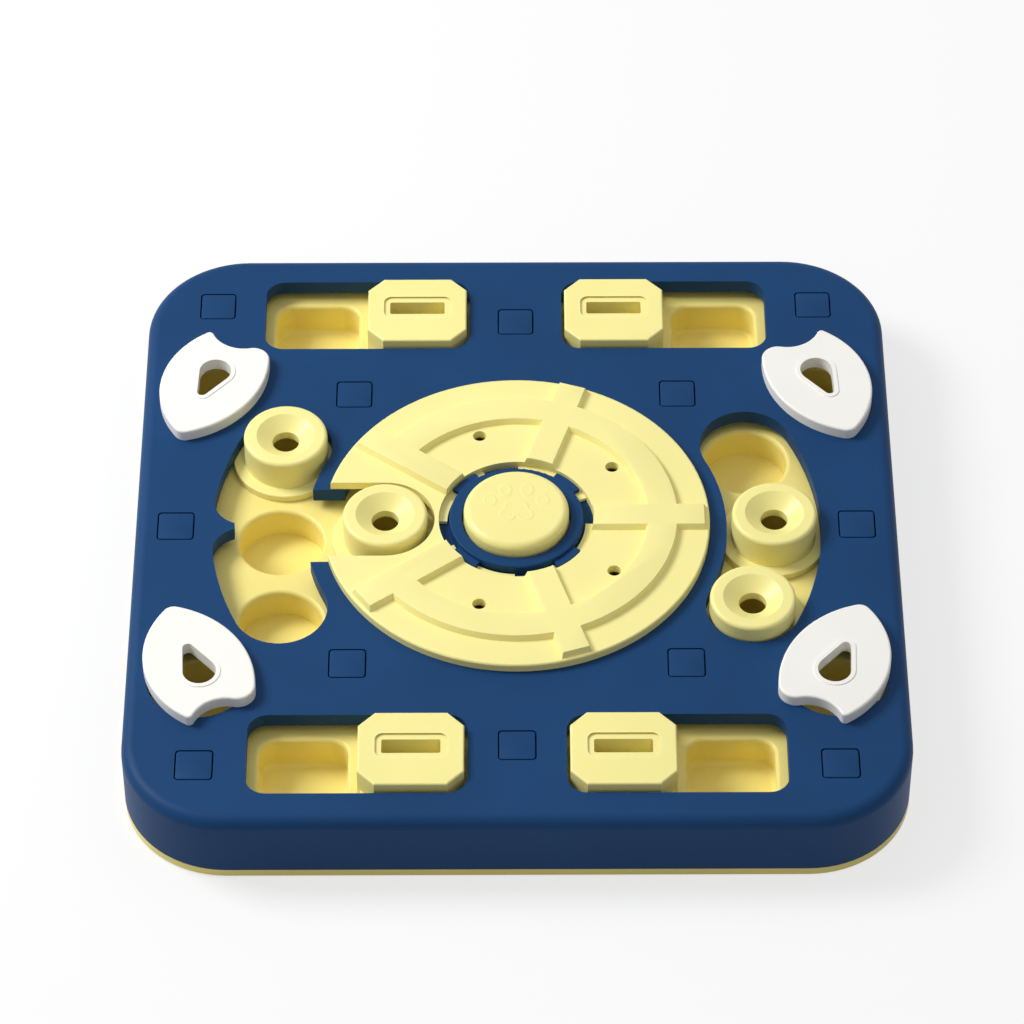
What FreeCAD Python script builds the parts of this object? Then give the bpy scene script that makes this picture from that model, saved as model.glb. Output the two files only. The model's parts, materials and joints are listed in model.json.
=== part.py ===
"""Puzzle feeder board for dogs: base tray with treat wells, top cover with openings,
four window sliders, four round pegs, a turntable with a squeaker button and four corner lids.
All sizes are in millimetres. The origin is the board centre on the table, +X right, +Z up."""
import FreeCAD
import Part
import Sketcher
import math
import os
from FreeCAD import Vector, Placement, Rotation

os.makedirs("parts", exist_ok=True)
doc = FreeCAD.newDocument("PuzzleFeeder")
sheet = doc.addObject("Spreadsheet::Sheet", "Sizes")

SIZES = {
    # Board outline and levels
    "board_side": 290.0,
    "board_corner": 39.0,
    "foot_stand": 0.8,
    "lip_height": 3.2,
    "deck_level": 21.8,
    "deck_thick": 2.0,
    "cover_level": 31.2,
    "cover_plate": 2.4,
    "rim_level": 25.2,
    "rim_wall": 2.0,
    "skirt_wall": 2.5,
    "edge_round": 4.6,
    "fit_gap": 0.4,
    "run_gap": 0.2,
    "tray_wall": 2.2,
    "seam_gap": 0.15,
    "join_depth": 0.5,
    "cut_over": 20.0,
    "cut_under": 1.0,
    # Wells
    "well_radius": 15.8,
    "well_floor": 8.3,
    "well_draft": 4.0,
    "cup_wall": 1.8,
    "well_rim_round": 1.6,
    "slider_well_long": 32.2,
    "slider_well_wide": 28.0,
    "slider_well_corner": 6.5,
    "slider_well_floor": 7.3,
    "slider_well_margin": 3.2,
    "well_foot_round": 2.0,
    "air_hole_radius": 7.0,
    "corner_well_radius": 16.0,
    # Round pegs and their track
    "peg_radius": 16.1,
    "peg_flange_radius": 20.5,
    "peg_flange_thick": 2.8,
    "peg_top": 37.8,
    "peg_wall": 2.4,
    "peg_hole_radius": 5.2,
    "peg_dish_radius": 11.2,
    "peg_dish_depth": 4.0,
    "peg_throat": 3.4,
    "peg_throat_wall": 1.8,
    "peg_round": 1.6,
    "flange_round": 0.5,
    "track_radius": 97.9,
    "track_half_angle": 25.0,
    "front_peg_angle": 25.6,
    "track_clearance": 1.8,
    "middle_well_x": 89.6,
    "cusp_reach": 107.2,
    "cusp_half_angle": 5.6,
    "cusp_bow": 1.6,
    "cusp_half_width": 5.9,
    "cusp_flat": 3.0,
    # Turntable and hub
    "disc_radius": 73.5,
    "disc_thick": 3.6,
    "disc_gap": 0.1,
    "rib_height": 1.4,
    "ring_inner": 50.0,
    "ring_outer": 61.2,
    "spoke_width": 10.5,
    "spoke_reach": 71.6,
    "disc_hole_radius": 29.5,
    "disc_lip_radius": 26.3,
    "disc_lip_thick": 1.3,
    "scent_radius": 2.6,
    "scent_circle": 45.4,
    "notch_half": 18.8,
    "orbit_radius": 49.8,
    "orbit_clearance": 2.4,
    "orbit_step": 72.0,
    "orbit_seam": 0.1,
    "web_half_angle": 3.0,
    "web_inner": 30.0,
    "web_outer": 70.0,
    "channel_overlap": 8.0,
    "hub_radius": 25.5,
    "hub_top": 35.8,
    "lug_reach": 28.7,
    "lug_under": 32.8,
    "lug_top": 34.4,
    "lug_span": 24.0,
    "lug_root": 20.0,
    "hub_round": 0.6,
    "spoke_root": 1.0,
    "bayonet_turn": 12.0,
    "bayonet_gap": 1.5,
    "bayonet_depth": 2.0,
    "disc_round": 0.8,
    "button_radius": 20.0,
    "button_top": 41.2,
    "button_flange_radius": 22.6,
    "button_side_gap": 0.6,
    "bulb_radius": 17.0,
    "bulb_wall": 1.6,
    "bulb_gap": 1.0,
    "button_wall": 2.2,
    "button_crown": 2.4,
    "button_shoulder_gap": 0.2,
    "button_flange_thick": 2.4,
    "paw_proud": 0.12,
    "paw_root": 1.2,
    "crown_gap": 0.15,
    "mouth_radius": 4.2,
    "reed_bore": 1.2,
    "reed_stem": 4.0,
    "reed_flange": 5.4,
    "reed_tip": 3.2,
    "reed_seat": 0.1,
    # Window sliders
    "window_long": 80.8,
    "window_wide": 37.1,
    "window_corner": 7.5,
    "window_x": 58.5,
    "window_y": 112.65,
    "slider_long": 39.0,
    "slider_wide": 34.2,
    "slider_chamfer": 6.2,
    "slider_top": 34.4,
    "slider_wing": 3.2,
    "slider_end_gap": 1.2,
    "wing_thick": 2.8,
    "wing_inset": 1.0,
    "wing_corner": 2.0,
    "slider_round": 0.8,
    "slot_dish_margin": 2.4,
    "slot_dish_corner": 3.0,
    "slot_dish_depth": 0.8,
    "slot_dish_slope": 68.0,
    "slot_corner": 0.8,
    "slot_long": 21.6,
    "slot_wide": 6.4,
    "slot_shift": 1.5,
    # Square snap plugs
    "plug_corner": 117.8,
    "plug_side_x": 129.5,
    "plug_side_y": 108.8,
    "plug_inner_x": 62.9,
    "plug_inner_y": 69.2,
    "plug_round": 1.3,
    "collar_corner": 2.6,
    "socket_block_corner": 2.0,
    "socket_corner": 0.3,
    "stem_root": 1.0,
    "plug_head": 13.6,
    "plug_gap": 0.3,
    "plug_head_under": 27.2,
    "seat_gap": 0.05,
    "plug_stem": 9.6,
    "stem_gap": 0.15,
    "plug_tip": 13.0,
    "socket_floor": 12.0,
    # Corner lids
    "lid_gap": 0.1,
    "lid_thick": 4.9,
    "lid_opening_radius": 19.4,
    "lid_opening_x": 118.0,
    "lid_opening_y": 75.8,
    "pivot_x": 127.0,
    "pivot_y": 51.0,
    "pivot_boss_radius": 3.5,
    "pivot_gap": 0.15,
    "screw_radius": 1.4,
    "screw_gap": 0.05,
    "screw_flange_radius": 4.6,
    "screw_flange_thick": 1.1,
    "screw_head_high": 1.2,
    "screw_head_radius": 2.6,
    "screw_head_flare": 0.3,
    "screw_reach": 2.7,
    "screw_tip": 1.0,
    "screw_tip_radius": 0.5,
    "screw_bore_depth": 3.0,
    "screw_slot_reach": 2.2,
    "screw_slot_wide": 0.5,
    "screw_slot_deep": 0.9,
    "boss_proud": 0.3,
    "lid_tip_round": 4.5,
    "lid_right_round": 6.5,
    "lid_left_round": 1.8,
    "lid_round": 0.9,
    "drop_rim": 1.6,
    "drop_rim_height": 0.35,
    # Rubber feet
    "foot_radius": 7.0,
    "foot_gap": 0.1,
    "foot_recess": 1.6,
    "foot_column": 10.0,
    "foot_round": 0.5,
}
for row, (alias, value) in enumerate(SIZES.items(), start=1):
    sheet.set("A%d" % row, alias)
    sheet.set("B%d" % row, str(value))
    sheet.setAlias("B%d" % row, alias)
doc.recompute()
S = {alias: float(sheet.get(alias)) for alias in SIZES}

# Derived levels and centres
HALF = S["board_side"] / 2
INNER_HALF = HALF - S["skirt_wall"] - S["fit_gap"]
INNER_CORNER = S["board_corner"] - S["skirt_wall"] - S["fit_gap"]
DECK = S["deck_level"]
PLATE_UNDER = S["cover_level"] - S["cover_plate"]
TRACK_HALF = S["peg_radius"] + S["track_clearance"]
ORBIT_HALF = S["peg_radius"] + S["orbit_clearance"]


def on_circle(radius, degrees):
    return (radius * math.cos(math.radians(degrees)), radius * math.sin(math.radians(degrees)))


TRACK_ANGLES = (-S["track_half_angle"], 0, S["track_half_angle"])
ARC_WELLS = [on_circle(S["track_radius"], a) for a in TRACK_ANGLES]
LEFT_WELLS = [(-ARC_WELLS[2][0], ARC_WELLS[2][1]), (-S["middle_well_x"], 0.0),
              (-ARC_WELLS[0][0], ARC_WELLS[0][1])]
ORBIT_ANGLES = [180 - S["orbit_step"] * step for step in range(5)]
ORBIT_WELLS = [on_circle(S["orbit_radius"], a) for a in ORBIT_ANGLES]
CORNER_SIGNS = ((-1, 1), (1, 1), (-1, -1), (1, -1))
CORNER_WELLS = [(sx * S["lid_opening_x"], sy * S["lid_opening_y"]) for sx, sy in CORNER_SIGNS]
PIVOTS = [(sx * S["pivot_x"], sy * S["pivot_y"]) for sx, sy in CORNER_SIGNS]
CORNER_PLUGS = [(sx * S["plug_corner"], sy * S["plug_corner"]) for sx, sy in CORNER_SIGNS]
END_PLUGS = [(0.0, sign * S["plug_side_y"]) for sign in (1, -1)]
SIDE_PLUGS = [(sign * S["plug_side_x"], 0.0) for sign in (1, -1)]
INNER_PLUGS = [(sx * S["plug_inner_x"], sy * S["plug_inner_y"]) for sx, sy in CORNER_SIGNS]
PLUGS = CORNER_PLUGS + END_PLUGS + SIDE_PLUGS + INNER_PLUGS
WINDOWS = [(sx * S["window_x"], sy * S["window_y"]) for sx, sy in CORNER_SIGNS]
WELL_SHIFT = (S["window_long"] - S["slider_well_long"]) / 2 - S["slider_end_gap"] - S["slider_well_margin"]


def circle(x, y, radius):
    return [("C", (x, y), radius)]


def rounded(cx, cy, long, wide, corner):
    """Rounded rectangle as four lines and four quarter arcs."""
    x0, x1, y0, y1 = cx - long / 2, cx + long / 2, cy - wide / 2, cy + wide / 2
    r = corner
    return [("L", (x0 + r, y0), (x1 - r, y0)), ("A", (x1 - r, y0 + r), r, -90, 0),
            ("L", (x1, y0 + r), (x1, y1 - r)), ("A", (x1 - r, y1 - r), r, 0, 90),
            ("L", (x1 - r, y1), (x0 + r, y1)), ("A", (x0 + r, y1 - r), r, 90, 180),
            ("L", (x0, y1 - r), (x0, y0 + r)), ("A", (x0 + r, y0 + r), r, 180, 270)]


def polygon(points):
    return [("L", points[i], points[(i + 1) % len(points)]) for i in range(len(points))]


def rectangle(long, wide):
    """Plain rectangle about the origin."""
    a, b = long / 2, wide / 2
    return polygon([(-a, -b), (a, -b), (a, b), (-a, b)])


def octagon(long, wide, chamfer):
    a, b, c = long / 2, wide / 2, chamfer
    return polygon([(-a + c, -b), (a - c, -b), (a, -b + c), (a, b - c),
                    (a - c, b), (-a + c, b), (-a, b - c), (-a, -b + c)])


def arc_slot(radius, half, start, end):
    """Curved slot about the board centre with round ends."""
    c0, c1 = on_circle(radius, start), on_circle(radius, end)
    return [("A", (0, 0), radius + half, start, end), ("A", c1, half, end, end + 180),
            ("A", (0, 0), radius - half, start, end), ("A", c0, half, start - 180, start)]


def chain(points):
    """Closed chain of three-point arcs; points are end, through, end, through, ..."""
    ends = range(0, len(points), 2)
    return [("T", points[i], points[i + 1], points[(i + 2) % len(points)]) for i in ends]


def edge_of(item):
    kind = item[0]
    if kind == "L":
        return Part.LineSegment(Vector(*item[1], 0), Vector(*item[2], 0))
    if kind == "C":
        return Part.Circle(Vector(*item[1], 0), Vector(0, 0, 1), item[2])
    if kind == "T":
        return Part.Arc(Vector(*item[1], 0), Vector(*item[2], 0), Vector(*item[3], 0))
    base = Part.Circle(Vector(*item[1], 0), Vector(0, 0, 1), item[2])
    return Part.ArcOfCircle(base, math.radians(item[3]), math.radians(item[4]))


def plane_of(body, role):
    return [f for f in body.Origin.OriginFeatures if f.Role == role][0]


def new_body(label):
    body = doc.addObject("PartDesign::Body", label)
    body.Label = label
    return body


def new_sketch(body, name, outline, level="0", role="XY_Plane"):
    """Sketch on an origin plane, raised to a level that is an expression of the sizes."""
    sketch = body.newObject("Sketcher::SketchObject", name)
    sketch.AttachmentSupport = (plane_of(body, role), [""])
    sketch.MapMode = "FlatFace"
    sketch.setExpression("AttachmentOffset.Base.z", level)
    for item in outline:
        index = sketch.addGeometry(edge_of(item), False)
        if item[0] == "C":
            sketch.addConstraint(Sketcher.Constraint("Radius", index, item[2]))
    return sketch


def pad(body, name, outline, bottom, top):
    sketch = new_sketch(body, name + "_outline", outline, bottom)
    feature = body.newObject("PartDesign::Pad", name)
    feature.Profile = sketch
    feature.setExpression("Length", "(%s) - (%s)" % (top, bottom))
    body.Tip = feature
    return feature


def pocket(body, name, outline, top, bottom, taper=None):
    sketch = new_sketch(body, name + "_outline", outline, top)
    feature = body.newObject("PartDesign::Pocket", name)
    feature.Profile = sketch
    feature.setExpression("Length", "(%s) - (%s)" % (top, bottom))
    if taper:
        feature.setExpression("TaperAngle", taper)
    body.Tip = feature
    return feature


def revolve(body, name, points):
    """Solid of revolution about Z from radius and height pairs."""
    sketch = new_sketch(body, name + "_profile", polygon(points), "0", "XZ_Plane")
    feature = body.newObject("PartDesign::Revolution", name)
    feature.Profile = sketch
    feature.ReferenceAxis = (sketch, ["V_Axis"])
    feature.Angle = 360
    body.Tip = feature
    return feature


def edges_where(feature, test):
    return ["Edge%d" % (i + 1) for i, e in enumerate(feature.Shape.Edges) if test(e)]


def fillet(body, name, base, test, radius):
    doc.recompute()
    names = edges_where(base, test)
    feature = body.newObject("PartDesign::Fillet", name)
    feature.Base = (base, names)
    if radius in SIZES:
        feature.setExpression("Radius", "Sizes." + radius)
    else:
        feature.Radius = radius
    body.Tip = feature
    return feature


def at_level(edge, z):
    box = edge.BoundBox
    return abs(box.ZMin - z) < 0.01 and abs(box.ZMax - z) < 0.01


def inside(edge, x, y, reach):
    box = edge.BoundBox
    return (abs(box.XMin - x) < reach and abs(box.XMax - x) < reach
            and abs(box.YMin - y) < reach and abs(box.YMax - y) < reach)


# Outlines of the openings in the cover, grown by a margin for the rims under them
def window_outline(x, y, grow):
    long = S["window_long"] + 2 * grow
    wide = S["window_wide"] + 2 * grow
    return rounded(x, y, long, wide, S["window_corner"] + grow)


def right_track(grow):
    return arc_slot(S["track_radius"], TRACK_HALF + grow, -S["track_half_angle"], S["track_half_angle"])


def orbit_track(grow):
    """Track of the lock peg under the disc, which stops just short of the channel's axis."""
    return arc_slot(S["orbit_radius"], ORBIT_HALF + grow, ORBIT_ANGLES[-1], 180 - S["orbit_seam"])


def channel(grow):
    half = ORBIT_HALF + grow
    outer = S["track_radius"] - TRACK_HALF + S["channel_overlap"]
    return polygon([(-outer, -half), (-S["orbit_radius"], -half), (-S["orbit_radius"], half),
                    (-outer, half)])


def left_track(grow):
    """Mirror of the right track with a pointed stop at the middle of its outer side."""
    outer = S["track_radius"] + TRACK_HALF + grow
    inner = S["track_radius"] - TRACK_HALF - grow
    half = TRACK_HALF + grow
    a = S["track_half_angle"]
    tip = S["cusp_reach"] + grow
    cusp = S["cusp_half_angle"]
    flat = S["cusp_flat"] / 2
    bow_x = -(outer + tip) / 2 - S["cusp_bow"]
    bow_y = S["cusp_half_width"]
    start = on_circle(outer, 180 - cusp)
    end = on_circle(outer, 180 + cusp)
    rear = on_circle(S["track_radius"], 180 - a)
    front = on_circle(S["track_radius"], 180 + a)
    return [("A", (0, 0), outer, 180 - a, 180 - cusp), ("T", start, (bow_x, bow_y), (-tip, flat)),
            ("L", (-tip, flat), (-tip, -flat)), ("T", (-tip, -flat), (bow_x, -bow_y), end),
            ("A", (0, 0), outer, 180 + cusp, 180 + a), ("A", front, half, 180 + a, 360 + a),
            ("A", (0, 0), inner, 180 - a, 180 + a), ("A", rear, half, -a, 180 - a)]


def moved(outline, dx, dy):
    result = []
    for item in outline:
        if item[0] in ("C", "A"):
            result.append((item[0], (item[1][0] + dx, item[1][1] + dy)) + tuple(item[2:]))
        else:
            result.append((item[0],) + tuple((p[0] + dx, p[1] + dy) for p in item[1:]))
    return result


# Base tray: lip, hollow deck, cups of the wells, sockets and feet columns
tray = new_body("base_tray")
pad(tray, "lip", rounded(0, 0, 2 * HALF, 2 * HALF, S["board_corner"]), "Sizes.foot_stand",
    "Sizes.foot_stand + Sizes.lip_height")
pad(tray, "wall", rounded(0, 0, 2 * INNER_HALF, 2 * INNER_HALF, INNER_CORNER),
    "Sizes.foot_stand + Sizes.lip_height", "Sizes.deck_level")
hollow_half = INNER_HALF - S["tray_wall"]
pocket(tray, "hollow", rounded(0, 0, 2 * hollow_half, 2 * hollow_half, INNER_CORNER - S["tray_wall"]),
       "Sizes.deck_level - Sizes.deck_thick", "Sizes.foot_stand")
doc.recompute()
ROUND_WELLS = ARC_WELLS + LEFT_WELLS + ORBIT_WELLS
SLIDER_WELLS = [(x + side * WELL_SHIFT, y) for x, y in WINDOWS for side in (-1, 1)]
CUP_WALL = S["cup_wall"]
CUP_TOP = "Sizes.deck_level - Sizes.join_depth"
CUP_BOTTOM = "Sizes.well_floor - Sizes.cup_wall"
for index, (x, y) in enumerate(ROUND_WELLS):
    pad(tray, "cup_%d" % index, circle(x, y, S["well_radius"] + CUP_WALL), CUP_BOTTOM, CUP_TOP)
for index, (x, y) in enumerate(CORNER_WELLS):
    outline = circle(x, y, S["corner_well_radius"] + CUP_WALL)
    pad(tray, "corner_cup_%d" % index, outline, CUP_BOTTOM, CUP_TOP)
for index, (x, y) in enumerate(SLIDER_WELLS):
    long = S["slider_well_long"] + 2 * CUP_WALL
    wide = S["slider_well_wide"] + 2 * CUP_WALL
    outline = rounded(x, y, long, wide, S["slider_well_corner"] + CUP_WALL)
    pad(tray, "slider_cup_%d" % index, outline, "Sizes.slider_well_floor - Sizes.cup_wall", CUP_TOP)
bulb_seat = S["bulb_radius"] + S["bulb_gap"]
pad(tray, "bulb_cup", circle(0, 0, bulb_seat + CUP_WALL), CUP_BOTTOM, CUP_TOP)
socket = S["plug_stem"] + 2 * S["stem_gap"]
for index, (x, y) in enumerate(PLUGS):
    if (x, y) in CORNER_PLUGS:
        pad(tray, "column_%d" % index, circle(x, y, S["foot_column"]), "Sizes.foot_stand", CUP_TOP)
        continue
    block = socket + 2 * CUP_WALL
    outline = rounded(x, y, block, block, S["socket_block_corner"])
    pad(tray, "socket_%d" % index, outline, "Sizes.socket_floor - Sizes.cup_wall", CUP_TOP)
wells = []
for x, y in ROUND_WELLS:
    wells += circle(x, y, S["well_radius"])
for x, y in CORNER_WELLS:
    wells += circle(x, y, S["corner_well_radius"])
pocket(tray, "round_wells", wells, "Sizes.deck_level", "Sizes.well_floor", "Sizes.well_draft")
boxes = []
for x, y in SLIDER_WELLS:
    boxes += rounded(x, y, S["slider_well_long"], S["slider_well_wide"], S["slider_well_corner"])
pocket(tray, "slider_wells", boxes, "Sizes.deck_level", "Sizes.slider_well_floor", "Sizes.well_draft")
pocket(tray, "bulb_seat", circle(0, 0, bulb_seat), "Sizes.deck_level", "Sizes.well_floor")
pocket(tray, "air_hole", circle(0, 0, S["air_hole_radius"]), "Sizes.deck_level", "Sizes.foot_stand")
stems = []
for x, y in PLUGS:
    stems += rounded(x, y, socket, socket, S["socket_corner"])
pocket(tray, "sockets", stems, "Sizes.deck_level", "Sizes.socket_floor")
feet = []
for x, y in CORNER_PLUGS:
    feet += circle(x, y, S["foot_radius"] + S["foot_gap"])
foot_recess = pocket(tray, "foot_recesses", feet, "Sizes.foot_stand + Sizes.foot_recess",
                     "Sizes.foot_stand")


def around(edge, places, reach):
    return any(inside(edge, x, y, reach) for x, y in places)


def well_rim(edge):
    """True for the upper edge of a well."""
    spare = S["join_depth"]
    return at_level(edge, DECK) and (
        around(edge, ROUND_WELLS, S["well_radius"] + spare)
        or around(edge, CORNER_WELLS, S["corner_well_radius"] + spare)
        or around(edge, SLIDER_WELLS, S["slider_well_long"] / 2 + spare))


def well_foot(edge):
    """True for the edge where a well's wall meets its floor."""
    if at_level(edge, S["slider_well_floor"]):
        return around(edge, SLIDER_WELLS, S["slider_well_long"] / 2)
    return at_level(edge, S["well_floor"]) and around(
        edge, ROUND_WELLS + CORNER_WELLS, S["corner_well_radius"])


rims = fillet(tray, "well_rims", foot_recess, well_rim, "well_rim_round")
fillet(tray, "well_feet", rims, well_foot, "well_foot_round")

# Top cover: plate with skirt, rims around the openings, hub for the turntable
cover = new_body("top_cover")
pad(cover, "block", rounded(0, 0, 2 * HALF, 2 * HALF, S["board_corner"]),
    "Sizes.foot_stand + Sizes.lip_height + Sizes.seam_gap", "Sizes.cover_level")
inner = HALF - S["skirt_wall"]
pocket(cover, "shell", rounded(0, 0, 2 * inner, 2 * inner, S["board_corner"] - S["skirt_wall"]),
       "Sizes.cover_level - Sizes.cover_plate", "Sizes.foot_stand + Sizes.lip_height")
RIM = S["rim_wall"]
RIM_BOTTOM = "Sizes.rim_level"
RIM_TOP = "Sizes.cover_level - Sizes.join_depth"
for index, (x, y) in enumerate(WINDOWS):
    pad(cover, "window_rim_%d" % index, window_outline(x, y, RIM), RIM_BOTTOM, RIM_TOP)
pad(cover, "right_rim", right_track(RIM), RIM_BOTTOM, RIM_TOP)
pad(cover, "left_rim", left_track(RIM), RIM_BOTTOM, RIM_TOP)
pad(cover, "channel_rim", channel(RIM), RIM_BOTTOM, RIM_TOP)
pad(cover, "orbit_rim", orbit_track(RIM), RIM_BOTTOM, RIM_TOP)
WEB_ANGLE = ORBIT_ANGLES[-1] - S["orbit_step"] / 2
web_sides = (WEB_ANGLE - S["web_half_angle"], WEB_ANGLE + S["web_half_angle"])
web_corners = [on_circle(S["web_inner"], web_sides[0]), on_circle(S["web_outer"], web_sides[0]),
               on_circle(S["web_outer"], web_sides[1]), on_circle(S["web_inner"], web_sides[1])]
pad(cover, "web_rib", polygon(web_corners), RIM_BOTTOM, RIM_TOP)
for index, (x, y) in enumerate(CORNER_WELLS):
    outline = circle(x, y, S["lid_opening_radius"] + RIM)
    pad(cover, "lid_rim_%d" % index, outline, RIM_BOTTOM, RIM_TOP)
collar = S["plug_head"] + 2 * S["plug_gap"]
for index, (x, y) in enumerate(PLUGS):
    block = collar + 2 * CUP_WALL
    outline = rounded(x, y, block, block, S["collar_corner"])
    pad(cover, "collar_%d" % index, outline, RIM_BOTTOM, RIM_TOP)
pad(cover, "hub_post", circle(0, 0, S["hub_radius"]), RIM_BOTTOM, "Sizes.hub_top")
for index, angle in enumerate((45, 135, 225, 315)):
    half = S["lug_span"] / 2
    wide = on_circle(S["lug_reach"], angle - half), on_circle(S["lug_reach"], angle + half)
    root = on_circle(S["lug_root"], angle + half), on_circle(S["lug_root"], angle - half)
    pad(cover, "lug_%d" % index,
        [("T", wide[0], on_circle(S["lug_reach"], angle), wide[1]), ("L", wide[1], root[0]),
         ("L", root[0], root[1]), ("L", root[1], wide[0])], "Sizes.lug_under", "Sizes.lug_top")
CUT_TOP = "Sizes.cover_level + Sizes.cut_over"
CUT_BOTTOM = "Sizes.foot_stand"
openings = []
for x, y in WINDOWS:
    openings += window_outline(x, y, 0)
openings += right_track(0)
for x, y in CORNER_WELLS:
    openings += circle(x, y, S["lid_opening_radius"])
for x, y in PIVOTS:
    openings += circle(x, y, S["pivot_boss_radius"] + S["pivot_gap"])
pocket(cover, "openings", openings, CUT_TOP, CUT_BOTTOM)
pocket(cover, "left_opening", left_track(0), CUT_TOP, CUT_BOTTOM)
pocket(cover, "channel_cut", channel(0), "Sizes.cover_level", CUT_BOTTOM)
pocket(cover, "orbit_cut", orbit_track(0), "Sizes.cover_level", CUT_BOTTOM)
heads = []
for x, y in PLUGS:
    heads += rounded(x, y, collar, collar, S["plug_round"] + S["plug_gap"])
pocket(cover, "plug_seats", heads, "Sizes.cover_level", "Sizes.plug_head_under - Sizes.seat_gap")
pocket(cover, "stem_holes", stems, "Sizes.cover_level", CUT_BOTTOM)
bore = S["button_radius"] + S["button_side_gap"]
pocket(cover, "button_bore", circle(0, 0, bore), "Sizes.hub_top", CUT_BOTTOM)
flange_bore = circle(0, 0, S["button_flange_radius"] + S["fit_gap"])
hub_cut = pocket(cover, "flange_bore", flange_bore, "Sizes.cover_level", CUT_BOTTOM)


def top_outline(edge):
    """True for the cover's own outer edge, and not for an opening or seat near it."""
    box = edge.BoundBox
    reach = max(abs(box.XMin), abs(box.XMax), abs(box.YMin), abs(box.YMax))
    return at_level(edge, S["cover_level"]) and reach > HALF - S["edge_round"]


def hub_edge(edge):
    return at_level(edge, S["hub_top"])


edge_fillet = fillet(cover, "top_edge", hub_cut, top_outline, "edge_round")
fillet(cover, "hub_edge", edge_fillet, hub_edge, "hub_round")

# Square snap plugs joining cover and tray, twelve separate solids in one group
plug_shapes = []
for index, (x, y) in enumerate(PLUGS):
    head = doc.addObject("Part::Box", "plug_head_%d" % index)
    head.setExpression("Length", "Sizes.plug_head")
    head.setExpression("Width", "Sizes.plug_head")
    head.setExpression("Height", "Sizes.cover_level - Sizes.plug_head_under")
    half = S["plug_head"] / 2
    head.Placement = Placement(Vector(x - half, y - half, S["plug_head_under"]), Rotation())
    stem = doc.addObject("Part::Box", "plug_stem_%d" % index)
    stem.setExpression("Length", "Sizes.plug_stem")
    stem.setExpression("Width", "Sizes.plug_stem")
    stem.setExpression("Height", "Sizes.plug_head_under - Sizes.plug_tip + Sizes.stem_root")
    half = S["plug_stem"] / 2
    stem.Placement = Placement(Vector(x - half, y - half, S["plug_tip"]), Rotation())
    plug = doc.addObject("Part::Fuse", "plug_%d" % index)
    plug.Base = head
    plug.Tool = stem
    doc.recompute()
    rounded_plug = doc.addObject("Part::Fillet", "plug_round_%d" % index)
    rounded_plug.Base = plug
    picked = []
    for number, edge in enumerate(plug.Shape.Edges, start=1):
        box = edge.BoundBox
        upright = box.ZLength > 1 and box.XLength < 0.01 and box.YLength < 0.01
        if upright and box.ZMin > S["plug_head_under"] - 0.1:
            picked.append((number, S["plug_round"], S["plug_round"]))
    rounded_plug.Edges = picked
    plug_shapes.append(rounded_plug)
plugs = doc.addObject("Part::Compound", "cover_plugs")
plugs.Label = "cover_plugs"
plugs.Links = plug_shapes

# Rubber feet under the corner columns, four separate solids in one group
foot_shapes = []
for index, (x, y) in enumerate(CORNER_PLUGS):
    foot = doc.addObject("Part::Cylinder", "foot_%d" % index)
    foot.setExpression("Radius", "Sizes.foot_radius")
    foot.setExpression("Height", "Sizes.foot_stand + Sizes.foot_recess")
    foot.Placement = Placement(Vector(x, y, 0), Rotation())
    doc.recompute()
    soft = doc.addObject("Part::Fillet", "foot_round_%d" % index)
    soft.Base = foot
    numbered = enumerate(foot.Shape.Edges, start=1)
    soft.Edges = [(n, S["foot_round"], S["foot_round"]) for n, e in numbered if at_level(e, 0.0)]
    foot_shapes.append(soft)
rubber = doc.addObject("Part::Compound", "rubber_feet")
rubber.Label = "rubber_feet"
rubber.Links = foot_shapes

NODES = [tray, cover, plugs, rubber]


# Window sliders: eight-sided knob through the window, wings held under the rims
def make_slider(label, sx, sy):
    body = new_body(label)
    knob = octagon(S["slider_long"], S["slider_wide"], S["slider_chamfer"])
    wings = rounded(0, 0, S["slider_long"] - 2 * S["wing_inset"], S["slider_wide"] + 2 * S["slider_wing"],
                    S["wing_corner"])
    low = "Sizes.deck_level + Sizes.run_gap"
    pad(body, label + "_wings", wings, low, low + " + Sizes.wing_thick")
    pad(body, label + "_knob", knob, low, "Sizes.slider_top")
    margin = 2 * S["slot_dish_margin"]
    dish = rounded(0, S["slot_shift"], S["slot_long"] + margin, S["slot_wide"] + margin,
                   S["slot_dish_corner"])
    pocket(body, label + "_dish", dish, "Sizes.slider_top", "Sizes.slider_top - Sizes.slot_dish_depth",
           "Sizes.slot_dish_slope")
    slot = rounded(0, S["slot_shift"], S["slot_long"], S["slot_wide"], S["slot_corner"])
    cut = pocket(body, label + "_slot", slot, "Sizes.slider_top", "Sizes.deck_level")

    def top_edge(edge):
        """True for the knob's outer edge, and not for the dish inside it."""
        box = edge.BoundBox
        reach = max(abs(box.XMin), abs(box.XMax))
        across = max(abs(box.YMin), abs(box.YMax))
        near_side = across > S["slider_wide"] / 2 - S["slider_chamfer"] - 1
        near_end = reach > S["slider_long"] / 2 - 1
        return at_level(edge, S["slider_top"]) and (near_side or near_end)

    fillet(body, label + "_top_edge", cut, top_edge, "slider_round")
    inner_end = S["window_x"] - S["window_long"] / 2 + S["slider_end_gap"] + S["slider_long"] / 2
    body.Placement = Placement(Vector(sx * inner_end, sy * S["window_y"], 0), Rotation())
    return body


for label, (sx, sy) in zip(("rear_left_slider", "rear_right_slider", "front_left_slider",
                            "front_right_slider"), CORNER_SIGNS):
    NODES.append(make_slider(label, sx, sy))


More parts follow.
